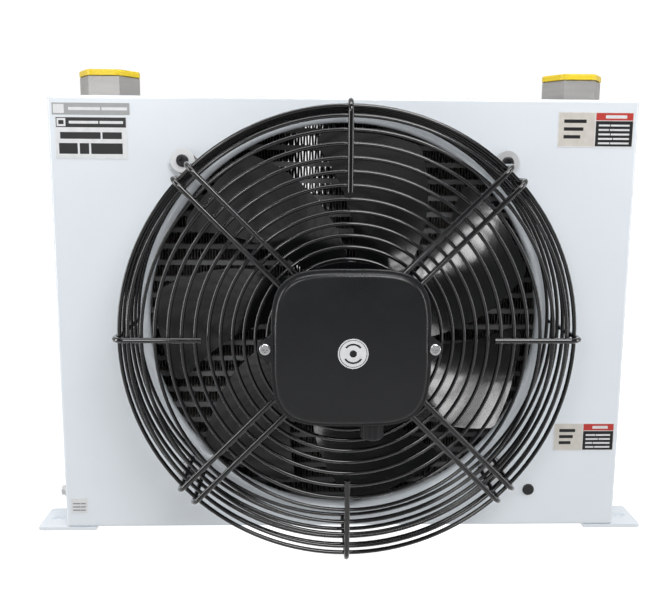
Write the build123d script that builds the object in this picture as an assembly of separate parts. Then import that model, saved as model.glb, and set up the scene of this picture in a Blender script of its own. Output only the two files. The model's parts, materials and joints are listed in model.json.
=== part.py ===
from build123d import *
import math
import os

os.makedirs("parts", exist_ok=True)

# ---------------------------------------------------------------------------
# Air-blown hydraulic oil cooler: a folded sheet casing holds a bar-and-plate core
# behind a fan throat, and a wire guard carries an external-rotor motor and its fan.
#
# All sizes are millimetres. Shapes are drawn in panel coordinates: x from the fan's
# axis, y backwards from the front panel's face, z upwards from the casing's lower
# edge. place() then moves them to the row frame: the origin is under the middle of
# the whole object, at the underside of the feet.
# ---------------------------------------------------------------------------

# Casing
CASE_W = 482.0
CASE_H = 368.5
CASE_D = 118.0
SHEET = 1.5
BEND = 2.5
AXIS = CASE_H / 2
THROAT_R = 164.3
THROAT_LIP = 5.0
THROAT_D = 9.0

# Feet
FOOT_T = 3.0
FOOT_X = (215.0, 266.0)
FOOT_D = 41.0
FOOT_CORNER = 3.0
SLOT_X = 254.0
SLOT_L = 11.0
SLOT_W = 7.0
RIVET_X = 227.0
RIVET_INSET = 10.0

# Core
CORE_FRONT = 46.0
CORE_D = 64.0
CORE_BACK = CORE_FRONT + CORE_D
CORE_MID = CORE_FRONT + CORE_D / 2
CORE_HALF = 183.0
PASSAGES = 23
PITCH = 14.5
PASSAGE_H = 4.0
PASSAGE_WALL = 0.8
PASSAGE_BAR = 3.0
FIN_H = PITCH - PASSAGE_H
FIN_FOLDS = 30
FIN_T = 0.4
END_BAR = 5.0
SIDE_PLATE = 6.0
TANK_W = 50.0
TANK_WALL = 4.0
CORE_RISE = (PASSAGES + 1) * PITCH / 2 - PASSAGE_H / 2 + SIDE_PLATE
CORE_LOW = AXIS - CORE_RISE
CORE_TOP = AXIS + CORE_RISE

# Ports: G1 female thread, drawn at its minor diameter, in a hexagonal boss
PORT_X = CORE_HALF + TANK_W / 2
PORT_TOP = AXIS + 205.5
PORT_AF = 46.0
PORT_BORE = 15.15
SEAT_R = 17.2
SEAT_D = 5.0
NOTCH_HALF = 28.0
CAP_AF = 48.5
CAP_T = 5.0
CAP_GAP = 0.1
CAP_CORNER = 9.0

# Core fixings
PAD_HEIGHTS = (AXIS - 122, AXIS, AXIS + 122)
PAD_HALF = 10.0
M6 = 3.0

# Guard
RIB_R = 2.1
RING_R = 1.4
SIDE_WIRE = 1.6
WELD = 0.3
GRILLE_Y = -79.0
RIB_Y = GRILLE_Y - RING_R - RIB_R + WELD
FRONT_RINGS = (61, 70, 78.5, 87, 96, 105, 115, 125, 135, 145, 155, 165)
SIDE_RING = 172.2
SIDE_COUNT = 6
SIDE_FIRST = -3.5
SIDE_PITCH = -14.3
RIB_OUT = SIDE_RING + SIDE_WIRE + RIB_R - WELD
RIB_PAIR = 7.25
RIB_IN = 49.5
SHORT_IN = 110.0
SCREW_R = 187.5
DIAGONALS = (45, 135, 225, 315)
SQUARE = (0, 90, 180, 270)
WALL_Y = -RIB_R - 0.1
WASHER_R = 9.8
WASHER_T = 1.2
BUSH_R = 4.9
PLATE_R = 59.0
PLATE_T = 2.5
PLATE_FRONT = GRILLE_Y - RING_R
PLATE_BACK = PLATE_FRONT + PLATE_T

# Motor
FLANGE_R = 50.0
FLANGE_T = 6.0
FLANGE_BACK = PLATE_BACK + FLANGE_T
TUBE_R = 19.0
BEARING_R = 15.0
BEARING_W = 9.0
SHAFT_R = 5.0
RUNNING = 0.02
STATOR_R = 36.0
AIR_GAP = 1.0
CAN_R = 46.0
CAN_WALL = 2.0
CAN_FRONT = -66.0
CAN_BACK = 26.0
HUB_R = 48.5
HUB_FRONT = -8.0
SCREW_PCD_R = 38.0
M5 = 2.5

# Fan
BLADES = 7
FAN_R = 157.5
BLADE_T = 2.0
BLADE_Y = 7.0
BLADE_RISE = 30.0
BLADE_CAMBER = 4.0
SWEEP_AT = 150.0
SWEEP_DEG = 134.0
SWEEP_SLOPE = 0.262
HALF_TIP = 17.1
HALF_SLOPE = 0.045
TIP_CORNER = 8.0

# Terminal box and its cover
BOX_R = 47.0
BOX_WALL = 2.2
BOX_FLOOR = PLATE_FRONT - 2.0
BOX_RIM = -99.5
RIM_T = 2.0
COVER_BACK = -100.0
COVER_STEP = -102.5
COVER_FRONT = -108.0
COVER_HALF = 58.2
COVER_X = 0.8
COVER_Z = AXIS - 1.8
COVER_WALL = 3.2
CROWN_R = 1000.0
DOME_EDGE = 4.0
BADGE_T = 0.4
BADGE_R = 11.0
BADGE_X = 1.9
BADGE_Z = AXIS - 4.1
EAR_X = 61.5
EAR_Z = AXIS - 2.0
EAR_R = 6.0
EAR_ROOT_X = 50.0
EAR_ROOT = 16.7
EAR_TANGENT = (3.7, 4.7)
GLAND_X = 17.5
GLAND_Y = -90.0
GLAND_SEAT = AXIS - 49.0
GLAND_HEX = 5.0
NUT_R = 9.0
NUT_END = AXIS - 73.5
NUT_EDGE = 3.4
CABLE_R = 4.0

# Small pieces on the casing
PLUG_X = 163.8
PLUG_Z = 33.2
PLUG_SHANK = 3.8
EARTH_Y = 10.0
EARTH_Z = 30.2
LABEL_T = 0.25
LABEL_AREAS = (
    (-237.2, -175.0, 352.8, 362.2),
    (-235.2, -177.5, 317.7, 351.4),
    (174.2, 237.2, 330.0, 358.6),
    (183.8, 237.2, 68.7, 93.7),
    (-236.1, -222.0, 13.0, 26.9),
)

# The object's own origin
NOSE = -COVER_FRONT + BADGE_T
FRONT_Y = (NOSE - CASE_D) / 2


def place(shape):
    return Pos(0, FRONT_Y, FOOT_T) * shape


def block(x0, x1, y0, y1, z0, z1):
    box = Box(x1 - x0, y1 - y0, z1 - z0)
    return Pos((x0 + x1) / 2, (y0 + y1) / 2, (z0 + z1) / 2) * box


def drum(radius, y0, y1, x=0.0, z=AXIS):
    """A cylinder along Y."""
    return Pos(x, (y0 + y1) / 2, z) * Rot(90, 0, 0) * Cylinder(radius, y1 - y0)


def post(radius, z0, z1, x, y):
    """A cylinder along Z."""
    return Pos(x, y, (z0 + z1) / 2) * Cylinder(radius, z1 - z0)


def peg(radius, x0, x1, y, z):
    """A cylinder along X."""
    return Pos((x0 + x1) / 2, y, z) * Rot(0, 90, 0) * Cylinder(radius, abs(x1 - x0))


def tube(outer, inner, y0, y1):
    return drum(outer, y0, y1) - drum(inner, y0 - 1, y1 + 1)


def polar(radius, degrees):
    """x and z of a point round the fan's axis, as seen from the front."""
    turn = math.radians(degrees)
    return radius * math.cos(turn), AXIS + radius * math.sin(turn)


def turned(shape, degrees):
    """The shape turned round the fan's axis, anticlockwise as seen from the front."""
    return Pos(0, 0, AXIS) * Rot(0, -degrees, 0) * Pos(0, 0, -AXIS) * shape


def group(shapes):
    return Compound([solid for shape in shapes for solid in shape.solids()])


# ---- casing ----------------------------------------------------------------

def rounded_box(inset, depth):
    """The casing's outline, drawn in by inset, with its bends."""
    half = CASE_W / 2 - inset
    radius = BEND - inset if inset < BEND else BEND
    box = block(-half, half, inset, depth, inset, CASE_H - inset)
    box = fillet(box.edges().filter_by(Axis.Y), radius)
    front = box.faces().sort_by(Axis.Y)[0]
    return fillet(front.edges(), radius)


def throat():
    """The pressed inlet ring: the panel turns back through a quarter circle."""
    lip = THROAT_R + THROAT_LIP
    outer = CenterArc((lip, THROAT_LIP), THROAT_LIP, 180, 90)
    inner = CenterArc((lip, THROAT_LIP), THROAT_LIP - SHEET, 180, 90)
    edges = [
        outer,
        Line((lip, 0), (lip + 4, 0)),
        Line((lip + 4, 0), (lip + 4, SHEET)),
        Line((lip + 4, SHEET), (lip, SHEET)),
        inner,
        Line((THROAT_R + SHEET, THROAT_LIP), (THROAT_R + SHEET, THROAT_D)),
        Line((THROAT_R + SHEET, THROAT_D), (THROAT_R, THROAT_D)),
        Line((THROAT_R, THROAT_D), (THROAT_R, THROAT_LIP)),
    ]
    return Pos(0, 0, AXIS) * revolve(make_face(edges), Axis.Y, 360)


def casing():
    body = rounded_box(0, CASE_D) - rounded_box(SHEET, CASE_D + 1)
    body = body - drum(THROAT_R + THROAT_LIP + 2, -1, SHEET + 1) + throat()
    notch_front = CORE_MID - PORT_AF / 2 - 3
    for side in (-1, 1):
        x = side * PORT_X
        body -= block(x - NOTCH_HALF, x + NOTCH_HALF, notch_front, CASE_D + 1, CASE_H - 5, CASE_H + 1)
        for height in PAD_HEIGHTS:
            body -= peg(M6 + 0.3, side * (CASE_W / 2 - 4), side * (CASE_W / 2 + 1), CORE_MID, height)
        for y in rivet_rows():
            body -= post(M5, -1, SHEET + 1, side * RIVET_X, y)
    for degrees in DIAGONALS:
        x, z = polar(SCREW_R, degrees)
        body -= drum(M5, -1, SHEET + 1, x, z)
    body -= drum(PLUG_SHANK, -1, SHEET + 1, PLUG_X, PLUG_Z)
    body -= peg(M5, -CASE_W / 2 - 1, -CASE_W / 2 + SHEET + 1, EARTH_Y, EARTH_Z)
    return body


# ---- feet ------------------------------------------------------------------

def foot_start(rear):
    return CASE_D - FOOT_D if rear else 0.0


def rivet_rows():
    starts = (foot_start(False), foot_start(True))
    return [y + inset for y in starts for inset in (RIVET_INSET, FOOT_D - RIVET_INSET)]


def foot(side, rear):
    y0 = foot_start(rear)
    plate = block(FOOT_X[0], FOOT_X[1], y0, y0 + FOOT_D, -FOOT_T, 0)
    corners = plate.edges().filter_by(Axis.Z).group_by(Axis.X)[-1]
    plate = fillet(corners, FOOT_CORNER)
    slot = Pos(SLOT_X, y0 + FOOT_D / 2, -FOOT_T - 1) * extrude(SlotOverall(SLOT_L, SLOT_W), FOOT_T + 2)
    plate -= slot
    for inset in (RIVET_INSET, FOOT_D - RIVET_INSET):
        plate -= rivet_body(RIVET_X, y0 + inset)
    return plate if side > 0 else mirror(plate, Plane.YZ)


def rivet_body(x, y):
    """A countersunk rivet, flush under the foot and closed inside the casing."""
    sink = Pos(x, y, -FOOT_T + 1) * Cone(4.5, M5, 2.0)
    return sink + post(M5, -FOOT_T, SHEET, x, y)


def foot_rivets():
    rivets = []
    for side in (-1, 1):
        for y in rivet_rows():
            head = fillet(post(4.2, SHEET, SHEET + 1.8, side * RIVET_X, y).edges().sort_by(Axis.Z)[-1], 1.2)
            rivets.append(rivet_body(side * RIVET_X, y) + head)
    return group(rivets)


# ---- core ------------------------------------------------------------------

def passage_heights():
    return [AXIS + (k - (PASSAGES - 1) / 2) * PITCH for k in range(PASSAGES)]


def layer_heights():
    return [AXIS + (k - PASSAGES / 2) * PITCH for k in range(PASSAGES + 1)]


def oil_passage(z):
    """A flat oil tube: two sheets brazed to a bar along the front and the back."""
    half = PASSAGE_H / 2
    outer = block(-CORE_HALF, CORE_HALF, CORE_FRONT, CORE_BACK, z - half, z + half)
    low = z - half + PASSAGE_WALL
    high = z + half - PASSAGE_WALL
    inner = block(-CORE_HALF - 1, CORE_HALF + 1, CORE_FRONT + PASSAGE_BAR, CORE_BACK - PASSAGE_BAR, low, high)
    return outer - inner


def fin_layer(z):
    """One folded air fin between two oil passages."""
    half = CORE_HALF - END_BAR
    step = half / FIN_FOLDS
    low = z - FIN_H / 2
    rise = FIN_H - FIN_T
    bottom = [(-half + k * step, low + rise * (k % 2)) for k in range(2 * FIN_FOLDS + 1)]
    top = [(x, height + FIN_T) for x, height in reversed(bottom)]
    sheet = make_face(Polyline(*bottom, *top, close=True))
    return Pos(0, CORE_BACK, 0) * extrude(Plane.XZ * sheet, CORE_D)


def end_bars():
    bars = []
    for z in layer_heights():
        for side in (-1, 1):
            x0, x1 = sorted((side * (CORE_HALF - END_BAR), side * CORE_HALF))
            bars.append(block(x0, x1, CORE_FRONT, CORE_BACK, z - FIN_H / 2, z + FIN_H / 2))
    return group(bars)


def side_plate(top):
    z0 = CORE_TOP - SIDE_PLATE if top else CORE_LOW
    return block(-CORE_HALF, CORE_HALF, CORE_FRONT, CORE_BACK, z0, z0 + SIDE_PLATE)


def tank(side):
    """A channel welded to the ends of the oil passages."""
    outer = block(CORE_HALF, CORE_HALF + TANK_W, CORE_FRONT, CORE_BACK, CORE_LOW, CORE_TOP)
    outer = fillet(outer.edges().filter_by(Axis.Z).group_by(Axis.X)[-1], 3.0)
    inner = block(CORE_HALF - 1, CORE_HALF + TANK_W - TANK_WALL, CORE_FRONT + TANK_WALL,
                  CORE_BACK - TANK_WALL, CORE_LOW - 1, CORE_TOP + 1)
    channel = outer - inner
    return channel if side > 0 else mirror(channel, Plane.YZ)


def tank_end_plates():
    plates = []
    for side in (-1, 1):
        for z0 in (CORE_LOW, CORE_TOP - TANK_WALL):
            x0, x1 = sorted((side * CORE_HALF, side * (CORE_HALF + TANK_W - TANK_WALL)))
            plate = block(x0, x1, CORE_FRONT + TANK_WALL, CORE_BACK - TANK_WALL, z0, z0 + TANK_WALL)
            if z0 > AXIS:
                plate -= post(PORT_BORE + 1.5, z0 - 1, z0 + TANK_WALL + 1, side * PORT_X, CORE_MID)
            plates.append(plate)
    return group(plates)


def port(side):
    """A hexagonal boss on the tank, bored for the thread, with a seat for the seal."""
    x = side * PORT_X
    boss = extrude(RegularPolygon(PORT_AF / 2, 6, major_radius=False), PORT_TOP - CORE_TOP)
    boss = Pos(x, CORE_MID, CORE_TOP) * boss
    boss = chamfer(boss.faces().sort_by(Axis.Z)[-1].edges(), 0.8)
    boss -= post(PORT_BORE, CORE_TOP - 1, PORT_TOP + 1, x, CORE_MID)
    return boss - post(SEAT_R, PORT_TOP - SEAT_D, PORT_TOP + 1, x, CORE_MID)


def port_cap(side):
    """A push-in transport cap: a rounded hexagonal head over a short hollow plug."""
    x = side * PORT_X
    low = PORT_TOP + CAP_GAP
    head = extrude(RegularPolygon(CAP_AF / 2, 6, major_radius=False), CAP_T)
    head = fillet(head.edges().filter_by(Axis.Z), CAP_CORNER)
    head = fillet(head.faces().sort_by(Axis.Z)[-1].edges(), 1.4)
    head = Pos(x, CORE_MID, low) * head
    plug = post(SEAT_R - 0.4, low - SEAT_D + 0.6, low, x, CORE_MID)
    plug -= post(SEAT_R - 2.2, low - SEAT_D, low - 0.5, x, CORE_MID)
    return head + plug


def core_pads():
    pads = []
    for side in (-1, 1):
        x0, x1 = sorted((side * (CORE_HALF + TANK_W), side * (CASE_W / 2 - SHEET)))
        for z in PAD_HEIGHTS:
            pad = block(x0, x1, CORE_MID - PAD_HALF, CORE_MID + PAD_HALF, z - PAD_HALF, z + PAD_HALF)
            pads.append(pad - peg(M6, x0 - 1, x1 + 1, CORE_MID, z))
    return group(pads)


def core_bolts():
    """Flanged hexagon bolts through the casing's sides into the pads on the tanks."""
    bolts = []
    outside = CASE_W / 2
    for side in (-1, 1):
        for z in PAD_HEIGHTS:
            shank = peg(M6, side * (CORE_HALF + TANK_W + 0.5), side * outside, CORE_MID, z)
            flange = peg(7.0, side * outside, side * (outside + 1.5), CORE_MID, z)
            head = extrude(RegularPolygon(5.0, 6, major_radius=False), 4.0)
            head = Pos(side * (outside + 1.5), CORE_MID, z) * Rot(0, side * 90, 0) * head
            bolts.append(shank + flange + head)
    return group(bolts)


# ---- guard -----------------------------------------------------------------

def ring(radius, wire, y):
    return Pos(0, y, AXIS) * Rot(90, 0, 0) * Torus(radius, wire)


def front_rings():
    return group(ring(radius, RING_R, GRILLE_Y) for radius in FRONT_RINGS)


def side_rings():
    return group(ring(SIDE_RING, SIDE_WIRE, SIDE_FIRST + k * SIDE_PITCH) for k in range(SIDE_COUNT))


def wire_along(points, radii):
    path = FilletPolyline(*points, radius=radii)
    start = Plane(origin=path @ 0, z_dir=path % 0)
    return sweep(start * Circle(RIB_R), path=path)


def rib(degrees):
    """One doubled rib: out over the grille, down the side, round the screw and back."""
    edge = SCREW_R + RIB_PAIR
    run = [(RIB_IN, RIB_Y), (RIB_OUT, RIB_Y), (RIB_OUT, WALL_Y), (edge, WALL_Y)]
    out = [(x, y, AXIS + RIB_PAIR) for x, y in run]
    back = [(x, y, AXIS - RIB_PAIR) for x, y in reversed(run)]
    loop = RIB_PAIR - 0.25
    return turned(wire_along(out + back, (8, 5, loop, loop, 5, 8)), degrees)


def short_rib(degrees):
    """A single wire that ties the side rings to the outer rings of the grille."""
    points = [(SHORT_IN, RIB_Y, AXIS), (RIB_OUT, RIB_Y, AXIS), (RIB_OUT, SIDE_FIRST, AXIS)]
    return turned(wire_along(points, (8,)), degrees)


def motor_plate():
    plate = tube(PLATE_R, 20.0, PLATE_FRONT, PLATE_BACK)
    for degrees in SQUARE:
        x, z = polar(SCREW_PCD_R, degrees)
        plate -= drum(M5 + 0.25, PLATE_FRONT - 1, PLATE_BACK + 1, x, z)
    return plate


def cross_recess(y, x, z, length, width, depth):
    """The cross cut into a screw's head, from the front."""
    flat = block(x - length / 2, x + length / 2, y, y + depth, z - width / 2, z + width / 2)
    upright = block(x - width / 2, x + width / 2, y, y + depth, z - length / 2, z + length / 2)
    return flat + upright


def pan_screw(x, z, head_y, head_r, head_h, shank_r, end_y):
    head = drum(head_r, head_y - head_h, head_y, x, z)
    head = fillet(head.edges().sort_by(Axis.Y)[0], head_h * 0.45)
    screw = head + drum(shank_r, head_y, end_y, x, z)
    return screw - cross_recess(head_y - head_h - 0.1, x, z, head_r * 0.95, head_r * 0.24, head_h * 0.6)


def guard_fixings():
    bushes, washers, screws = [], [], []
    washer_y = 2 * WALL_Y
    for degrees in DIAGONALS:
        x, z = polar(SCREW_R, degrees)
        bushes.append(drum(BUSH_R, washer_y, 0, x, z) - drum(M5, washer_y - 1, 1, x, z))
        washers.append(drum(WASHER_R, washer_y - WASHER_T, washer_y, x, z) - drum(M5, washer_y - 2, 1, x, z))
        screws.append(pan_screw(x, z, washer_y - WASHER_T, 5.0, 3.2, M5, 8.0))
    return group(bushes), group(washers), group(screws)


# ---- motor -----------------------------------------------------------------

def motor_flange():
    """The stator's carrier: a disc on the guard's plate and a tube for the bearings."""
    body = drum(FLANGE_R, PLATE_BACK, FLANGE_BACK) + drum(TUBE_R, FLANGE_BACK - 1, -2)
    body -= drum(BEARING_R, PLATE_BACK + 2, -1)
    for degrees in SQUARE:
        x, z = polar(SCREW_PCD_R, degrees)
        body -= drum(M5, PLATE_BACK - 1, FLANGE_BACK + 1, x, z)
    return body


def motor_screws():
    screws = []
    for degrees in SQUARE:
        x, z = polar(SCREW_PCD_R, degrees)
        screws.append(pan_screw(x, z, BOX_FLOOR, 4.5, 3.0, M5, FLANGE_BACK - 0.5))
    return group(screws)


def bearing(y0):
    return tube(BEARING_R, SHAFT_R + RUNNING, y0, y0 + BEARING_W)


def motor_shaft():
    shaft = drum(SHAFT_R, -75, CAN_BACK - 2)
    return shaft - tube(SHAFT_R + 1, SHAFT_R - 0.4, -73.1, -72.1)


def shaft_circlip():
    clip = tube(SHAFT_R + 2.5, SHAFT_R - 0.4, -73.1, -72.1)
    return clip - block(-1.2, 1.2, -75, -70, AXIS, AXIS + 9)


def stator_windings():
    return group([
        fillet(tube(33, 21, -62, -54).edges().group_by(Axis.Y)[0], 2.5),
        fillet(tube(33, 21, -6, 1).edges().group_by(Axis.Y)[-1], 2.5),
    ])


def rotor_can():
    can = drum(CAN_R, CAN_FRONT, CAN_BACK) - drum(CAN_R - CAN_WALL, CAN_FRONT - 1, CAN_BACK - 3)
    can += drum(12, 3, CAN_BACK - 2.5)
    can -= drum(SHAFT_R, 2, CAN_BACK - 2)
    return can - hub_pins()


def rotor_cage():
    return tube(CAN_R - CAN_WALL, STATOR_R + AIR_GAP, -56, -4)


def hub_pins():
    """The rivets' shanks, half way between the blades' roots."""
    pins = []
    for k in range(BLADES):
        pin = peg(2.0, CAN_R - CAN_WALL, HUB_R, (HUB_FRONT + CAN_BACK) / 2, AXIS)
        pins.append(turned(pin, rivet_angle(k)))
    return pins


def rivet_angle(k):
    return blade_middle(HUB_R) + (k + 0.5) * 360 / BLADES


def hub_rivets():
    rivets = []
    for k in range(BLADES):
        y = (HUB_FRONT + CAN_BACK) / 2
        head = peg(3.4, HUB_R, HUB_R + 1.4, y, AXIS)
        head = fillet(head.edges().sort_by(Axis.X)[-1], 0.9)
        rivet = peg(2.0, CAN_R - CAN_WALL, HUB_R, y, AXIS) + head
        rivets.append(turned(rivet, rivet_angle(k)))
    return group(rivets)


def hub_ring():
    return tube(HUB_R, CAN_R, HUB_FRONT, CAN_BACK) - hub_pins()


# ---- fan blades ------------------------------------------------------------

def blade_middle(radius):
    return SWEEP_DEG + SWEEP_SLOPE * (radius - SWEEP_AT)


def blade_half(radius):
    return HALF_TIP + HALF_SLOPE * (SWEEP_AT - radius)


def blade_point(radius, across):
    """A point of the blade's face; across is -1 at one edge and 1 at the other."""
    x, z = polar(radius, blade_middle(radius) + across * blade_half(radius))
    y = BLADE_Y + across * BLADE_RISE / 2 + BLADE_CAMBER * (1 - across ** 2)
    return Vector(x, y, z)


def blade_edge(across):
    places = [polar(radius, blade_middle(radius) + across * blade_half(radius))
              for radius in (HUB_R - 4, 105, FAN_R + 6)]
    return ThreePointArc(*[(x, z - AXIS) for x, z in places])


def blade_outline():
    """The blade seen from the front, with rounded corners at its tip."""
    low, high = blade_edge(-1), blade_edge(1)
    ends = [Line(low @ 0, high @ 0), Line(low @ 1, high @ 1)]
    outline = (make_face([low, high] + ends) & Circle(FAN_R)) - Circle(HUB_R)
    tips = [v for v in outline.vertices() if Vector(v.X, v.Y, 0).length > FAN_R - 1]
    return fillet(tips, TIP_CORNER)


def blade_blank():
    radii = [HUB_R - 6 + k * (FAN_R + 12 - HUB_R) / 5 for k in range(6)]
    grid = [[blade_point(radius, across / 4) for across in range(-5, 6)] for radius in radii]
    face = Face.make_surface_from_array_of_points(grid)
    sheet = Solid.thicken(face, BLADE_T)
    prism = extrude(Plane.XZ * blade_outline(), 70, both=True)
    return Pos(0, 0, AXIS) * prism & sheet


# ---- terminal box, cover and gland ------------------------------------------

def squircle(half):
    """A square with bowed sides and soft corners, |x|^4 + |z|^4 = half^4."""
    points = []
    for k in range(32):
        turn = 2 * math.pi * k / 32
        c, s = math.cos(turn), math.sin(turn)
        points.append((half * math.copysign(math.sqrt(abs(c)), c), half * math.copysign(math.sqrt(abs(s)), s)))
    return make_face(Spline(*points, periodic=True))


def squircle_block(half, y0, y1):
    return Pos(COVER_X, y1, COVER_Z) * extrude(Plane.XZ * squircle(half), y1 - y0)


def crown():
    """The large ball that gives the cover its slight crown."""
    return Pos(COVER_X, COVER_FRONT + CROWN_R, COVER_Z) * Sphere(CROWN_R)


def ears(y0, y1, hole):
    """The two tapered screw lugs at the sides."""
    lugs = []
    reach, drop = EAR_TANGENT
    for side in (-1, 1):
        corners = [(side * EAR_ROOT_X, EAR_ROOT), (side * (EAR_X + reach), drop),
                   (side * (EAR_X + reach), -drop), (side * EAR_ROOT_X, -EAR_ROOT)]
        taper = extrude(Plane.XZ * make_face(Polyline(*corners, close=True)), y1 - y0)
        lug = Pos(0, y1, EAR_Z) * taper + drum(EAR_R, y0, y1, side * EAR_X, EAR_Z)
        lugs.append(lug - drum(hole, y0 - 1, y1 + 1, side * EAR_X, EAR_Z))
    return lugs


def terminal_box():
    body = drum(BOX_R, BOX_RIM, PLATE_FRONT)
    body += squircle_block(COVER_HALF - 1.5, BOX_RIM, BOX_RIM + RIM_T)
    body += ears(BOX_RIM, BOX_RIM + RIM_T, 1.7)
    body -= block(GLAND_X - 11, GLAND_X + 11, BOX_RIM - 1, BOX_RIM + RIM_T + 1, 0, GLAND_SEAT + 1)
    body += post(10.5, GLAND_SEAT, AXIS - 36, GLAND_X, GLAND_Y) & block(0, 40, BOX_RIM, PLATE_FRONT, 0, AXIS)
    body -= drum(BOX_R - BOX_WALL, BOX_RIM - 1, BOX_FLOOR)
    body -= drum(12, BOX_FLOOR - 1, PLATE_FRONT + 1)
    body -= post(6.0, GLAND_SEAT - 1, AXIS - 30, GLAND_X, GLAND_Y)
    for degrees in SQUARE:
        x, z = polar(SCREW_PCD_R, degrees)
        body -= drum(M5 + 0.25, BOX_FLOOR - 1, PLATE_FRONT + 1, x, z)
    return body


def terminal_gasket():
    return squircle_block(COVER_HALF - 3, COVER_BACK, BOX_RIM) - drum(BOX_R, -102, -98) \
        - block(GLAND_X - 11, GLAND_X + 11, -102, -98, 0, GLAND_SEAT + 1)


def terminal_cover():
    """A shallow crowned lid on a stepped rim."""
    rim = squircle_block(COVER_HALF, COVER_STEP, COVER_BACK)
    for lug in ears(COVER_STEP, COVER_BACK, 2.1):
        rim += lug
    rim = fillet(rim.faces().sort_by(Axis.Y)[0].outer_wire().edges(), 0.8)
    dome = squircle_block(COVER_HALF - 2, COVER_FRONT - 1, COVER_BACK) & crown()
    dome = fillet(dome.faces().sort_by(Axis.Y)[0].edges(), DOME_EDGE)
    return rim + dome - squircle_block(COVER_HALF - 5, COVER_FRONT + COVER_WALL, COVER_BACK + 1)


def cover_screws():
    return group(pan_screw(side * EAR_X, EAR_Z, COVER_STEP, 4.25, 2.6, 1.7, BOX_RIM + RIM_T - 0.3)
                 for side in (-1, 1))


def gland_body():
    low = GLAND_SEAT - GLAND_HEX
    flats = Pos(GLAND_X, GLAND_Y, low) * extrude(RegularPolygon(9.0, 6, major_radius=False), GLAND_HEX)
    body = flats + post(6.0, low, AXIS - 34, GLAND_X, GLAND_Y)
    return body - post(CABLE_R + 0.6, low - 1, AXIS - 30, GLAND_X, GLAND_Y)


def gland_nut():
    """A domed nut with grip flutes, hollow for the seal."""
    top = GLAND_SEAT - GLAND_HEX
    nut = post(NUT_R, NUT_END, top, GLAND_X, GLAND_Y)
    nut = fillet(nut.edges().sort_by(Axis.Z)[0], NUT_EDGE)
    for k in range(14):
        turn = 2 * math.pi * k / 14
        flute = post(0.9, NUT_END - 1, top - 3, GLAND_X + 9.3 * math.cos(turn), GLAND_Y + 9.3 * math.sin(turn))
        nut -= flute
    nut -= post(6.1, NUT_END + 3, top + 1, GLAND_X, GLAND_Y)
    return nut - post(CABLE_R + 0.8, NUT_END - 1, NUT_END + 4, GLAND_X, GLAND_Y)


def gland_seal():
    seal = post(6.1, NUT_END + 3, GLAND_SEAT - GLAND_HEX, GLAND_X, GLAND_Y)
    return seal - post(CABLE_R, NUT_END, GLAND_SEAT, GLAND_X, GLAND_Y)


def terminal_block():
    body = block(-22, 22, BOX_FLOOR - 10, BOX_FLOOR, AXIS + 12, AXIS + 26)
    for k in range(4):
        body -= drum(2.6, BOX_FLOOR - 11, BOX_FLOOR - 4, -15 + 10 * k, AXIS + 19)
    return body


def run_capacitor():
    body = block(-24, 24, BOX_FLOOR - 13, BOX_FLOOR, AXIS - 30, AXIS - 14)
    return fillet(body.edges().filter_by(Axis.X), 3.0)


# ---- small pieces on the casing ----------------------------------------------

def labels():
    """Stick-on plates: a strip, a nameplate, two notices and a small tally."""
    return group(block(x0, x1, -LABEL_T, 0, z0, z1) for x0, x1, z0, z1 in LABEL_AREAS)


def badge():
    """A stuck-on disc that follows the cover's crown."""
    return drum(BADGE_R, COVER_FRONT - BADGE_T, COVER_FRONT + BADGE_T, BADGE_X, BADGE_Z) - crown()


def hole_plug():
    head = drum(5.0, -1.6, 0, PLUG_X, PLUG_Z)
    head = fillet(head.edges().sort_by(Axis.Y)[0], 1.0)
    return head + drum(PLUG_SHANK, 0, 5, PLUG_X, PLUG_Z)


def earth_screw():
    outside = -CASE_W / 2
    head = extrude(RegularPolygon(4.0, 6, major_radius=False), 3.5)
    head = Pos(outside - 1.5, EARTH_Y, EARTH_Z) * Rot(0, -90, 0) * head
    washer = peg(5.5, outside, outside - 1.5, EARTH_Y, EARTH_Z)
    return washer + head + peg(M5, outside, outside + 9, EARTH_Y, EARTH_Z)


# ---- the assembly --------------------------------------------------------------

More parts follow.
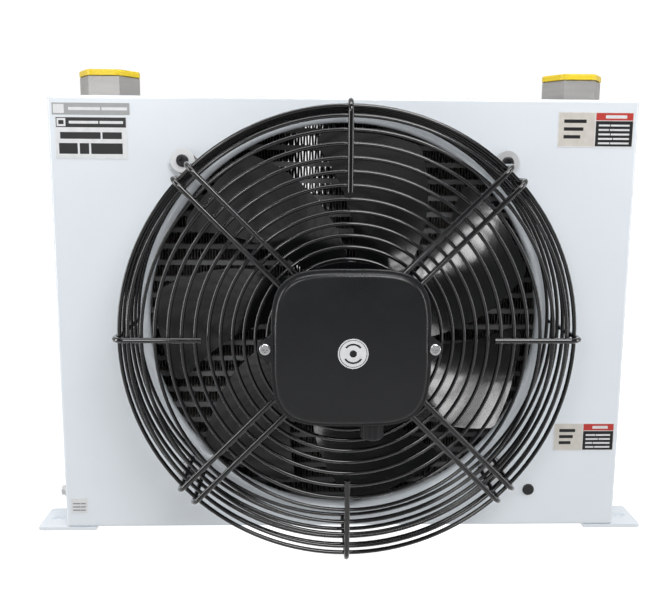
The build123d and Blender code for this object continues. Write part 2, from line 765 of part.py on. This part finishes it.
def assembly():
    nodes = {"casing": casing(), "foot_rivets": foot_rivets()}
    for side, hand in ((-1, "left"), (1, "right")):
        nodes["foot_front_" + hand] = foot(side, False)
        nodes["foot_rear_" + hand] = foot(side, True)
        nodes["tank_" + hand] = tank(side)
        nodes["port_" + hand] = port(side)
        nodes["port_cap_" + hand] = port_cap(side)
    nodes["core_top_plate"] = side_plate(True)
    nodes["core_bottom_plate"] = side_plate(False)
    nodes["oil_passages"] = group(oil_passage(z) for z in passage_heights())
    nodes["air_fins"] = group(fin_layer(z) for z in layer_heights())
    nodes["core_end_bars"] = end_bars()
    nodes["tank_end_plates"] = tank_end_plates()
    nodes["core_pads"] = core_pads()
    nodes["core_bolts"] = core_bolts()
    nodes["guard_front_rings"] = front_rings()
    nodes["guard_side_rings"] = side_rings()
    nodes["guard_ribs"] = group(rib(degrees) for degrees in DIAGONALS)
    nodes["guard_short_ribs"] = group(short_rib(degrees) for degrees in SQUARE)
    nodes["guard_motor_plate"] = motor_plate()
    bushes, washers, screws = guard_fixings()
    nodes["guard_bushes"] = bushes
    nodes["guard_washers"] = washers
    nodes["guard_screws"] = screws
    nodes["motor_flange"] = motor_flange()
    nodes["motor_screws"] = motor_screws()
    nodes["stator_core"] = tube(STATOR_R, TUBE_R, -54, -6)
    nodes["stator_windings"] = stator_windings()
    nodes["bearing_front"] = bearing(-72)
    nodes["bearing_rear"] = bearing(-13)
    nodes["motor_shaft"] = motor_shaft()
    nodes["shaft_circlip"] = shaft_circlip()
    nodes["rotor_can"] = rotor_can()
    nodes["rotor_cage"] = rotor_cage()
    nodes["hub_ring"] = hub_ring()
    nodes["hub_rivets"] = hub_rivets()
    blade = blade_blank()
    for k in range(BLADES):
        nodes["fan_blade_" + str(k + 1)] = turned(blade, k * 360 / BLADES)
    nodes["terminal_box"] = terminal_box()
    nodes["terminal_gasket"] = terminal_gasket()
    nodes["terminal_cover"] = terminal_cover()
    nodes["cover_screws"] = cover_screws()
    nodes["gland_body"] = gland_body()
    nodes["gland_nut"] = gland_nut()
    nodes["gland_seal"] = gland_seal()
    nodes["terminal_block"] = terminal_block()
    nodes["run_capacitor"] = run_capacitor()
    nodes["labels"] = labels()
    nodes["badge"] = badge()
    nodes["hole_plug"] = hole_plug()
    nodes["earth_screw"] = earth_screw()
    return nodes


for node, shape in assembly().items():
    export_step(place(shape), "parts/" + node + ".step")
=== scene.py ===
import json
import math
import random

import bpy
import bmesh
from mathutils import Matrix, Vector


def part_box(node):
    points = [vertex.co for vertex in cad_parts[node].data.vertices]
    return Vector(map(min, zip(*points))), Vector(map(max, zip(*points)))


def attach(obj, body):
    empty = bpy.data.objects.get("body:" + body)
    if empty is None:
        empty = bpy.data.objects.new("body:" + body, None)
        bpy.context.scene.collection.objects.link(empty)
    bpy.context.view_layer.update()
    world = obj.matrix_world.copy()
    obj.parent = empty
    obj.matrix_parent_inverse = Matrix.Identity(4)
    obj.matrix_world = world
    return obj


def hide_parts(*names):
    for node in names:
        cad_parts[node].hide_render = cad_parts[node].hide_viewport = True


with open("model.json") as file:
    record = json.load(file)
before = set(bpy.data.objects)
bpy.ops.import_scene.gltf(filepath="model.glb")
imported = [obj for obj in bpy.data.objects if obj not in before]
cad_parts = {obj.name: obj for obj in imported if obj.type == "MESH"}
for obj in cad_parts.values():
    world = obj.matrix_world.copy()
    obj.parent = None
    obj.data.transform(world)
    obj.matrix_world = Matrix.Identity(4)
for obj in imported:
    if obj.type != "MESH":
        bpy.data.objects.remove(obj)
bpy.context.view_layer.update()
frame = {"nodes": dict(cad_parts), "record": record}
NODES = frame["nodes"]
MM = 1e-3
random.seed(11)

# ---------------------------------------------------------------------------
# Materials. Object coordinates are metres in the row frame, so a texture scale
# of 400 repeats about every 2.5 mm.
# ---------------------------------------------------------------------------

# Where most of a noise texture's values lie
NOISE_RANGE = (0.3, 0.7)
# The part of a fine noise that counts as dust
DUST_RANGE = (0.45, 0.75)
# The pointiness of worn edges
EDGE_RANGE = (0.53, 0.60)
# A mix node's sockets for colours, which share their names with its other sockets
MIX_UNDER, MIX_OVER, MIX_RESULT = 6, 7, 2


def shade(colour, factor):
    return tuple(min(1.0, max(0.0, c * factor)) for c in colour) + (1.0,)


def new_node(mat, kind, **inputs):
    node = mat.node_tree.nodes.new(kind)
    for key, value in inputs.items():
        node.inputs[key.replace("_", " ")].default_value = value
    return node


def link(mat, source, target):
    mat.node_tree.links.new(source, target)


def coordinates(mat, stretch):
    """Object coordinates, stretched for grain that runs one way."""
    place = mat.node_tree.nodes.new("ShaderNodeTexCoord")
    mapping = mat.node_tree.nodes.new("ShaderNodeMapping")
    mapping.inputs["Scale"].default_value = stretch
    link(mat, place.outputs["Object"], mapping.inputs["Vector"])
    return mapping.outputs["Vector"]


def noise(mat, scale, detail, rough, stretch=(1, 1, 1)):
    node = new_node(mat, "ShaderNodeTexNoise", Scale=scale, Detail=detail, Roughness=rough)
    link(mat, coordinates(mat, stretch), node.inputs["Vector"])
    return node.outputs["Fac"]


def ramp(mat, value, stops):
    """A colour ramp from two (position, colour) stops."""
    node = mat.node_tree.nodes.new("ShaderNodeValToRGB")
    for element, (position, colour) in zip(node.color_ramp.elements, stops):
        element.position = position
        element.color = colour
    link(mat, value, node.inputs["Fac"])
    return node.outputs["Color"]


def spread(mat, value, low, high, source=NOISE_RANGE):
    """A value from the source range, mapped to low..high."""
    node = new_node(mat, "ShaderNodeMapRange", From_Min=source[0], From_Max=source[1],
                    To_Min=low, To_Max=high)
    link(mat, value, node.inputs["Value"])
    return node.outputs["Result"]


def cover_colour(mat, amount, under, over):
    """A colour socket, covered with a plain colour by the given amount."""
    node = mat.node_tree.nodes.new("ShaderNodeMix")
    node.data_type = "RGBA"
    link(mat, amount, node.inputs["Factor"])
    link(mat, under, node.inputs[MIX_UNDER])
    node.inputs[MIX_OVER].default_value = over + (1.0,)
    return node.outputs[MIX_RESULT]


def bumps(mat, layers):
    """A chain of bump nodes; a layer is (height socket, strength, depth in metres)."""
    normal = None
    for height, strength, depth in layers:
        node = new_node(mat, "ShaderNodeBump", Strength=strength, Distance=depth)
        link(mat, height, node.inputs["Height"])
        if normal:
            link(mat, normal, node.inputs["Normal"])
        normal = node.outputs["Normal"]
    link(mat, normal, mat.node_tree.nodes["Principled BSDF"].inputs["Normal"])


def finish(name, colour, rough, vary=0.06, tint=(25, 6), rough_vary=0.05, rough_scale=60,
           grain=((380, 0.12, 0.0004),), stretch=(1, 1, 1), metallic=0.0, coat=0.0,
           coat_rough=0.1, specular=0.5, worn=None, dust=None):
    """One procedural finish: mottled colour, uneven gloss, surface grain, wear and dust.

    tint is the mottling's scale and detail, a layer of grain is its scale, strength
    and depth in metres, worn is a colour and an amount, and dust adds a scale.
    """
    mat = bpy.data.materials.new(name)
    mat.use_nodes = True
    shader = mat.node_tree.nodes["Principled BSDF"]
    shader.inputs["Metallic"].default_value = metallic
    shader.inputs["Coat Weight"].default_value = coat
    shader.inputs["Coat Roughness"].default_value = coat_rough
    shader.inputs["Specular IOR Level"].default_value = specular
    mottle = noise(mat, tint[0], tint[1], 0.6, stretch)
    base = ramp(mat, mottle, zip(NOISE_RANGE, (shade(colour, 1 - vary), shade(colour, 1 + vary))))
    if dust:
        dust_colour, amount, scale = dust
        cover = spread(mat, noise(mat, scale, 8.0, 0.7), 0.0, amount, DUST_RANGE)
        base = cover_colour(mat, cover, base, dust_colour)
    if worn:
        worn_colour, amount = worn
        point = mat.node_tree.nodes.new("ShaderNodeNewGeometry").outputs["Pointiness"]
        edge = spread(mat, point, 0.0, amount, EDGE_RANGE)
        base = cover_colour(mat, edge, base, worn_colour)
    link(mat, base, shader.inputs["Base Color"])
    gloss = spread(mat, noise(mat, rough_scale, 5.0, 0.6, stretch), rough - rough_vary, rough + rough_vary)
    link(mat, gloss, shader.inputs["Roughness"])
    bumps(mat, [(noise(mat, scale, 2.0, 0.5, stretch), strength, depth)
                for scale, strength, depth in grain])
    return mat


DUST = (0.42, 0.40, 0.37)
MATERIALS = {
    "casing_white": finish("casing_white", (0.81, 0.86, 0.91), 0.22, vary=0.012, tint=(9, 4),
                           rough_vary=0.04, grain=((420, 0.16, 0.0003), (1500, 0.05, 0.0001)),
                           coat=0.6, coat_rough=0.06),
    "zinc_steel": finish("zinc_steel", (0.76, 0.77, 0.78), 0.38, vary=0.08, metallic=0.7,
                         grain=((900, 0.1, 0.0001),)),
    "core_black": finish("core_black", (0.150, 0.152, 0.155), 0.36, vary=0.12, tint=(70, 6),
                         rough_vary=0.07, grain=((520, 0.3, 0.0003), (90, 0.15, 0.0006)),
                         dust=(DUST, 0.08, 45), worn=((0.35, 0.35, 0.36), 0.35)),
    "fin_black": finish("fin_black", (0.022, 0.021, 0.021), 0.30, vary=0.25, tint=(60, 6), rough_vary=0.08,
                        grain=((700, 0.3, 0.0002),), dust=(DUST, 0.12, 60)),
    # The fins' front lips: a lighter grey that stands in for light caught on their edges, a painted
    # highlight, with dust over it
    "fin_lip_highlight": finish("fin_lip_highlight", (0.34, 0.33, 0.31), 0.32, vary=0.30, tint=(90, 6), rough_vary=0.08,
                       grain=((700, 0.3, 0.0002),), dust=(DUST, 0.25, 80)),
    "port_aluminium": finish("port_aluminium", (0.40, 0.39, 0.38), 0.38, vary=0.06, metallic=0.4,
                             grain=((260, 0.25, 0.0002),), stretch=(1, 1, 9)),
    "cap_yellow": finish("cap_yellow", (0.80, 0.58, 0.02), 0.38, vary=0.05, tint=(60, 4),
                         grain=((500, 0.12, 0.0002),)),
    "guard_black": finish("guard_black", (0.004, 0.004, 0.005), 0.11, vary=0.15, rough_vary=0.03,
                          grain=((600, 0.04, 0.0001),), coat=1.0, coat_rough=0.03),
    "rubber_grey": finish("rubber_grey", (0.30, 0.31, 0.31), 0.62, grain=((900, 0.25, 0.0002),)),
    "screw_black": finish("screw_black", (0.025, 0.025, 0.028), 0.34, vary=0.2, metallic=0.3,
                          grain=((900, 0.15, 0.0002),)),
    "cast_aluminium": finish("cast_aluminium", (0.50, 0.51, 0.52), 0.46, vary=0.10, metallic=1.0,
                             grain=((520, 0.4, 0.0003),)),
    "lamination_steel": finish("lamination_steel", (0.24, 0.24, 0.25), 0.42, vary=0.1, metallic=0.9,
                               grain=((300, 0.5, 0.0003),), stretch=(1, 6, 1)),
    "copper_winding": finish("copper_winding", (0.58, 0.24, 0.10), 0.34, vary=0.15, metallic=0.8,
                             grain=((260, 0.7, 0.0005),), stretch=(1, 5, 1)),
    "bright_steel": finish("bright_steel", (0.74, 0.75, 0.76), 0.20, vary=0.05, metallic=1.0,
                           grain=((900, 0.08, 0.0001),)),
    "rotor_black": finish("rotor_black", (0.016, 0.016, 0.017), 0.36, vary=0.2, grain=((420, 0.2, 0.0003),),
                          dust=(DUST, 0.06, 50)),
    "blade_black": finish("blade_black", (0.007, 0.008, 0.008), 0.15, vary=0.12, tint=(18, 5),
                          rough_vary=0.03, grain=((330, 0.08, 0.0001),), coat=0.5, coat_rough=0.08,
                          dust=(DUST, 0.006, 35)),
    "box_black": finish("box_black", (0.009, 0.010, 0.011), 0.29, vary=0.10, rough_vary=0.04,
                        grain=((1300, 0.25, 0.0002),), specular=0.5),
    "rubber_black": finish("rubber_black", (0.018, 0.018, 0.018), 0.60, grain=((900, 0.2, 0.0002),)),
    "label_white": finish("label_white", (0.80, 0.80, 0.79), 0.34, vary=0.02, grain=((500, 0.05, 0.0001),)),
}


for piece in frame["record"]["subparts"]:
    slots = NODES[piece["node"]].data.materials
    slots.clear()
    slots.append(MATERIALS[piece["material_slot"]])

# ---------------------------------------------------------------------------
# Camera, floor and studio light
# ---------------------------------------------------------------------------

CAMERA_AT = Vector((-0.0310, -0.6870, 0.31495))
CAMERA_YAW = 0.029
CAMERA_PITCH = -0.160
CAMERA_ROLL = 0.007
CAMERA_LENS = 44.59
SENSOR = 36.0

FLOOR_HALF = 60.0
FLOOR_DROP = 0.0005
FLOOR_GLOW = 0.85

WHITE = (1.0, 1.0, 1.0, 1.0)
SEEN_STRENGTH = 1.02
FRONT_STRENGTH = 0.14
BACK_STRENGTH = 0.75
LOW_STRENGTH = 0.62

MIDDLE = (0.0, 0.0, 0.19)
# Name, size, power in watts, place; each faces the middle of the object
LIGHTS = (
    ("key", (0.9, 0.6), 18.0, (0.5, -1.5, 1.4)),
    ("window", (0.34, 0.36), 5.0, (-0.62, -1.8, 0.79)),
    ("overhead", (1.4, 0.5), 9.0, (0.0, -0.3, 1.45)),
    ("left_side", (0.4, 1.0), 8.0, (-1.4, -0.35, 0.4)),
    ("right_side", (0.4, 1.0), 5.0, (1.4, -0.35, 0.4)),
)


def add_camera():
    data = bpy.data.cameras.new("camera")
    data.lens = CAMERA_LENS
    data.sensor_width = SENSOR
    camera = bpy.data.objects.new("camera", data)
    bpy.context.scene.collection.objects.link(camera)
    across = Vector((math.cos(CAMERA_YAW), -math.sin(CAMERA_YAW), 0))
    ahead = Vector((math.sin(CAMERA_YAW) * math.cos(CAMERA_PITCH),
                    math.cos(CAMERA_YAW) * math.cos(CAMERA_PITCH), math.sin(CAMERA_PITCH)))
    up = across.cross(ahead)
    c, s = math.cos(CAMERA_ROLL), math.sin(CAMERA_ROLL)
    right = across * c + up * s
    top = up * c - across * s
    rows = [[right[k], top[k], -ahead[k]] for k in range(3)]
    camera.matrix_world = Matrix.Translation(CAMERA_AT) @ Matrix(rows).to_4x4()
    bpy.context.scene.camera = camera


def add_light(name, size, power, place):
    data = bpy.data.lights.new(name, "AREA")
    data.shape = "RECTANGLE"
    data.size, data.size_y = size
    data.energy = power
    light = bpy.data.objects.new(name, data)
    bpy.context.scene.collection.objects.link(light)
    light.location = place
    light.rotation_mode = "QUATERNION"
    light.rotation_quaternion = (Vector(MIDDLE) - Vector(place)).to_track_quat("-Z", "Y")
    light.visible_camera = False


def add_floor():
    """A pale floor that takes shadows but throws no light of its own on the object."""
    mesh = bpy.data.meshes.new("floor")
    corners = [(x * FLOOR_HALF, y * FLOOR_HALF, 0) for x, y in ((-1, -1), (1, -1), (1, 1), (-1, 1))]
    mesh.from_pydata(corners, [], [(0, 1, 2, 3)])
    floor = bpy.data.objects.new("floor", mesh)
    bpy.context.scene.collection.objects.link(floor)
    floor.location.z = -FLOOR_DROP
    paper = finish("floor_white", (0.62, 0.62, 0.62), 0.8, vary=0.004, grain=((60, 0.02, 0.0002),),
                   specular=0.1)
    shader = paper.node_tree.nodes["Principled BSDF"]
    shader.inputs["Emission Color"].default_value = WHITE
    shader.inputs["Emission Strength"].default_value = FLOOR_GLOW
    mesh.materials.append(paper)
    floor.visible_diffuse = False
    floor.visible_glossy = False


def map_range(nodes, low, high, to_low, to_high):
    node = nodes.new("ShaderNodeMapRange")
    node.interpolation_type = "SMOOTHSTEP"
    for key, value in zip(("From Min", "From Max", "To Min", "To Max"), (low, high, to_low, to_high)):
        node.inputs[key].default_value = value
    return node


def add_world():
    """White to look at. As a light it is dim in front of the object, brighter behind it and below."""
    world = bpy.data.worlds.new("studio")
    bpy.context.scene.world = world
    world.use_nodes = True
    nodes, links = world.node_tree.nodes, world.node_tree.links
    seen = nodes["Background"]
    seen.inputs["Color"].default_value = WHITE
    seen.inputs["Strength"].default_value = SEEN_STRENGTH
    lit = nodes.new("ShaderNodeBackground")
    place = nodes.new("ShaderNodeTexCoord")
    split = nodes.new("ShaderNodeSeparateXYZ")
    links.new(place.outputs["Generated"], split.inputs["Vector"])
    depth = map_range(nodes, -0.5, 0.5, FRONT_STRENGTH, BACK_STRENGTH)
    links.new(split.outputs["Y"], depth.inputs["Value"])
    below = map_range(nodes, -0.35, 0.0, LOW_STRENGTH, 0.0)
    links.new(split.outputs["Z"], below.inputs["Value"])
    total = nodes.new("ShaderNodeMath")
    links.new(depth.outputs["Result"], total.inputs[0])
    links.new(below.outputs["Result"], total.inputs[1])
    links.new(total.outputs["Value"], lit.inputs["Strength"])
    path = nodes.new("ShaderNodeLightPath")
    mix = nodes.new("ShaderNodeMixShader")
    links.new(path.outputs["Is Camera Ray"], mix.inputs["Fac"])
    links.new(lit.outputs["Background"], mix.inputs[1])
    links.new(seen.outputs["Background"], mix.inputs[2])
    links.new(mix.outputs["Shader"], nodes["World Output"].inputs["Surface"])


add_camera()
add_floor()
add_world()
for lamp in LIGHTS:
    add_light(*lamp)
bpy.context.scene.view_settings.view_transform = "Standard"

# ---------------------------------------------------------------------------
# The folded fins at their true pitch
# ---------------------------------------------------------------------------

FIN_LAYERS = 24
FIN_HEIGHT = 0.0105
FIN_LEG = 0.0026
FIN_SHEET = 0.00022
# Depth of the fins' front lip, whose faces carry a painted highlight
FIN_LIP = 0.001
FIN_SWAY = 0.0015
FIN_WAVES = 8
CREST_SHARE = 0.22
BEND_SHARE = 0.35
BEND_RISE = 0.0011


def clamp(value, low, high):
    return min(max(value, low), high)


def mesh_piece(name, verts, faces, slot):
    """A flat-shaded mesh that rides on the cooler's body."""
    mesh = bpy.data.meshes.new(name)
    mesh.from_pydata(verts, [], faces)
    mesh.materials.append(MATERIALS[slot])
    piece = bpy.data.objects.new(name, mesh)
    bpy.context.scene.collection.objects.link(piece)
    tidy = bmesh.new()
    tidy.from_mesh(mesh)
    bmesh.ops.recalc_face_normals(tidy, faces=tidy.faces)
    tidy.to_mesh(mesh)
    tidy.free()
    mesh.polygons.foreach_set("use_smooth", [False] * len(mesh.polygons))
    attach(piece, "cooler")
    return piece


def fold_profile(x0, x1, low):
    """Centre line of one layer: upright legs joined by flat crests, low then high."""
    count = round((x1 - x0) / FIN_LEG)
    step = (x1 - x0) / count
    bottom, top = low + FIN_SHEET / 2, low + FIN_HEIGHT - FIN_SHEET / 2
    inset = step * CREST_SHARE
    line = []
    for k in range(count + 1):
        x = x0 + k * step
        first, second = (bottom, top) if k % 2 else (top, bottom)
        rise = math.copysign(BEND_RISE, second - first)
        line += [(x - inset, first), (x - inset * BEND_SHARE, first + rise),
                 (x + inset * BEND_SHARE, second - rise), (x + inset, second)]
    return [(clamp(x, x0, x1), z) for x, z in line]


def fold_outline(line, lo, hi, low):
    """The sheet's outline: the centre line moved to one side, then back along the other."""
    half = FIN_SHEET / 2
    outline = []
    for walk in (line, line[::-1]):
        for k, (x, z) in enumerate(walk):
            ahead = walk[min(k + 1, len(walk) - 1)]
            behind = walk[max(k - 1, 0)]
            dx, dz = ahead[0] - behind[0], ahead[1] - behind[1]
            length = math.hypot(dx, dz) or 1.0
            outline.append((x - dz / length * half, z + dx / length * half))
    return [(clamp(x, lo.x, hi.x), clamp(z, low, low + FIN_HEIGHT)) for x, z in outline]


def add_fins():
    """Every layer's folded sheet, waved along its depth, with a painted highlight on its front lip."""
    lo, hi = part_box("air_fins")
    pitch = (hi.z - lo.z - FIN_HEIGHT) / (FIN_LAYERS - 1)
    verts, faces, lip_highlight_faces = [], [], []
    stations = [lo.y, lo.y + FIN_LIP]
    stations += [lo.y + (hi.y - lo.y) * k / FIN_WAVES for k in range(1, FIN_WAVES + 1)]
    last = len(stations) - 1
    for layer in range(FIN_LAYERS):
        low = lo.z + layer * pitch
        line = fold_profile(lo.x + FIN_SHEET / 2, hi.x - FIN_SHEET / 2, low)
        outline = fold_outline(line, lo, hi, low)
        start, count = len(verts), len(outline)
        for j, y in enumerate(stations):
            sway = FIN_SWAY * (j % 2) * (1 < j < last)
            verts += [(x + sway * min(1.0, (hi.x - x) / FIN_LEG), y, z) for x, z in outline]
        for j in range(last):
            for k in range(count):
                a = start + j * count + k
                b = start + j * count + (k + 1) % count
                faces.append((a, b, b + count, a + count))
                lip_highlight_faces.append(j == 0)
        for j in (0, last):
            ring = start + j * count
            for k in range(len(line) - 1):
                quad = (ring + k, ring + k + 1, ring + count - 2 - k, ring + count - 1 - k)
                faces.append(quad[::-1] if j else quad)
                lip_highlight_faces.append(j == 0)
    piece = mesh_piece("folded_fins", verts, faces, "fin_black")
    # The faces of the front lip take the lighter second finish: a painted highlight
    piece.data.materials.append(MATERIALS["fin_lip_highlight"])
    piece.data.polygons.foreach_set("material_index", [int(edge) for edge in lip_highlight_faces])
    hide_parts("air_fins")


add_fins()

# ---------------------------------------------------------------------------
# Generic print: plain bands and bars instead of words and pictures
# ---------------------------------------------------------------------------

INKS = {
    "film_white": (0.74, 0.75, 0.76),
    "film_grey": (0.36, 0.37, 0.37),
    "film_beige": (0.64, 0.61, 0.56),
    "ink_black": (0.012, 0.012, 0.013),
    "ink_red": (0.52, 0.045, 0.035),
    "ink_grey": (0.30, 0.30, 0.30),
}
INK_NAMES = list(INKS)
INK_MATERIALS = [finish(name, colour, 0.35, tint=(160, 3), grain=((500, 0.05, 0.0001),))
                 for name, colour in INKS.items()]


def print_on(piece, inks):
    """Gives each face of the piece its own ink, by name."""
    piece.data.materials.clear()
    for ink in INK_MATERIALS:
        piece.data.materials.append(ink)
    piece.data.polygons.foreach_set("material_index", [INK_NAMES.index(ink) for ink in inks])


def bars(x0, x1, z0, z1, ink, words, gap=0.22):
    """A line of plain bars with gaps, as long as the given words."""
    total = sum(words) + gap * (len(words) - 1)
    unit = (x1 - x0) / total
    found, x = [], x0
    for word in words:
        found.append((x, x + word * unit, z0, z1, ink))
        x += (word + gap) * unit
    return found


def notice(x0, x1, z0, z1, split, header):
    """A beige panel beside a black one with a red band over it."""
    rows = [(x0, x1, z0, z1, "film_white"), (x0 + 0.8, split - 0.6, z0 + 0.8, z1 - 0.8, "film_beige"),
            (split, x1 - 0.8, header, z1 - 0.8, "ink_red"),
            (split, x1 - 0.8, z0 + 0.8, header - 0.5, "ink_black")]
    rows += bars(split + 8, x1 - 6, header + 1.6, z1 - 2.6, "film_white", (6,))
    low = z0 + 2.6
    while low + 2.2 < header - 1.5:
        words = (random.uniform(2, 4), random.uniform(3, 6))
        rows += bars(split + 2.5, x1 - 3.5, low, low + 1.5, "film_white", words)
        low += 3.6
    left, right = x0 + 5, split - 5
    for share in (0.30, 0.52, 0.74):
        z = z0 + (z1 - z0) * share
        rows.append((left, left + (right - left) * (0.5 + share / 2), z - 1.6, z + 1.2, "ink_black"))
    return rows


# Each plate: its film first, then what is printed on it, as (x0, x1, z0, z1, ink) in
# millimetres over the casing's lower edge
PLATE_LOW = 10.8
PLATES = [
    [(-237.2, -175.0, 350.6, 360.0, "film_grey"), (-236.2, -227.6, 351.8, 358.9, "film_white")]
    + bars(-224.0, -177.0, 354.2, 356.6, "film_white", (5, 4)),
    [(-235.2, -177.5, 315.5, 349.2, "film_white"), (-234.4, -178.2, 340.6, 348.5, "ink_black"),
     (-233.8, -226.7, 341.4, 347.8, "film_white"), (-232.4, -228.2, 343.0, 346.2, "ink_black")]
    + bars(-224.0, -180.5, 343.5, 345.7, "film_white", (5, 4))
    + bars(-231.4, -181.8, 331.4, 336.8, "ink_black", (5, 2.4))
    + bars(-232.6, -181.4, 319.4, 328.0, "ink_black", (2, 1, 3.4)),
    notice(174.2, 237.2, 327.8, 356.4, 205.6, 349.6),
    notice(183.8, 237.2, 66.5, 91.5, 209.8, 84.8),
    [(-236.1, -222.0, PLATE_LOW, 24.7, "film_white")]
    + [row for z in (13.0, 16.0, 19.0) for row in bars(-234.6, -223.6, z, z + 1.2, "ink_grey", (3, 2))],
]


def rim_of(grid):
    """The outer points of a grid, once round."""
    wide, high = len(grid), len(grid[0])
    rim = [grid[i][0] for i in range(wide)]
    rim += [grid[-1][j] for j in range(1, high)]
    rim += [grid[i][-1] for i in range(wide - 2, -1, -1)]
    return rim + [grid[0][j] for j in range(high - 2, 0, -1)]


def ink_at(rows, x, z):
    """The ink of the last row that covers the place."""
    return [row[4] for row in rows if row[0] < x < row[1] and row[2] < z < row[3]][-1]


def add_plate(rows, front, back, rise, verts, faces, inks):
    """One film, cut along the edges of its print so that each face has one ink."""
    x0, x1, z0, z1, film = rows[0]
    xs = sorted({round(x, 3) for row in rows for x in row[:2] if x0 <= x <= x1})
    zs = sorted({round(z, 3) for row in rows for z in row[2:4] if z0 <= z <= z1})
    start = len(verts)
    grid = [[start + i * len(zs) + j for j in range(len(zs))] for i in range(len(xs))]
    verts += [(x * MM, front, z * MM + rise) for x in xs for z in zs]
    for i in range(len(xs) - 1):
        for j in range(len(zs) - 1):
            faces.append((grid[i][j], grid[i + 1][j], grid[i + 1][j + 1], grid[i][j + 1]))
            inks.append(ink_at(rows, (xs[i] + xs[i + 1]) / 2, (zs[j] + zs[j + 1]) / 2))
    rim = rim_of(grid)
    rear = [len(verts) + k for k in range(len(rim))]
    verts += [(verts[v][0], back, verts[v][2]) for v in rim]
    for k in range(len(rim)):
        following = (k + 1) % len(rim)
        faces.append((rim[k], rear[k], rear[following], rim[following]))
        inks.append(film)
    faces.append(tuple(rear[::-1]))
    inks.append(film)


def add_labels():
    """The stick-on plates, with their print as faces of their own ink."""
    lo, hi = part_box("labels")
    verts, faces, inks = [], [], []
    for rows in PLATES:
        add_plate(rows, lo.y, hi.y, lo.z - PLATE_LOW * MM, verts, faces, inks)
    piece = mesh_piece("printed_labels", verts, faces, "label_white")
    print_on(piece, inks)
    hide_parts("labels")


BADGE_RINGS = 22
BADGE_SECTORS = 120
# Shares of the badge's radius, and degrees either side of upright
BADGE_HEART = [0.10, 0.12]
BADGE_SPOT = 0.26
BADGE_BAND = (0.54, 0.68)
BADGE_RIM = (0.86, 0.92)
OVER_HALF = 52
UNDER_HALF = 58


def badge_ink(radius, degrees):
    """A generic mark: a thin ring, a plain band over and under, and a round spot."""
    over = abs(degrees - 90) < OVER_HALF
    under = abs(degrees - 270) < UNDER_HALF
    rim = BADGE_RIM[0] < radius < BADGE_RIM[1]
    band = BADGE_BAND[0] < radius < BADGE_BAND[1] and (over or under)
    return "ink_black" if rim or band or radius < BADGE_SPOT else "film_white"


def add_badge():
    """The stuck-on disc, cut into rings and sectors that each have their own ink."""
    lo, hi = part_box("badge")
    middle = (lo + hi) / 2
    reach = (hi.x - lo.x) / 2
    heart = BADGE_HEART[-1]
    steps = BADGE_HEART + [heart + (1 - heart) * k / BADGE_RINGS for k in range(1, BADGE_RINGS + 1)]
    circles = [(share, lo.y) for share in steps] + [(1.0, hi.y)]
    verts, faces, inks = [(middle.x, lo.y, middle.z)], [], []
    for share, y in circles:
        for k in range(BADGE_SECTORS):
            turn = 2 * math.pi * k / BADGE_SECTORS
            x = middle.x + reach * share * math.cos(turn)
            z = middle.z + reach * share * math.sin(turn)
            verts.append((x, y, z))
    for k in range(BADGE_SECTORS):
        following = (k + 1) % BADGE_SECTORS
        faces.append((0, 1 + k, 1 + following))
        inks.append("ink_black")
        for j in range(len(steps)):
            a, b = 1 + j * BADGE_SECTORS, 1 + (j + 1) * BADGE_SECTORS
            faces.append((a + k, b + k, b + following, a + following))
            radius = (circles[j][0] + circles[j + 1][0]) / 2
            inks.append(badge_ink(radius, 360 * (k + 0.5) / BADGE_SECTORS))
    back = 1 + len(steps) * BADGE_SECTORS
    faces.append(tuple(back + k for k in range(BADGE_SECTORS)))
    inks.append("film_white")
    piece = mesh_piece("printed_badge", verts, faces, "label_white")
    print_on(piece, inks)
    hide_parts("badge")


add_labels()
add_badge()
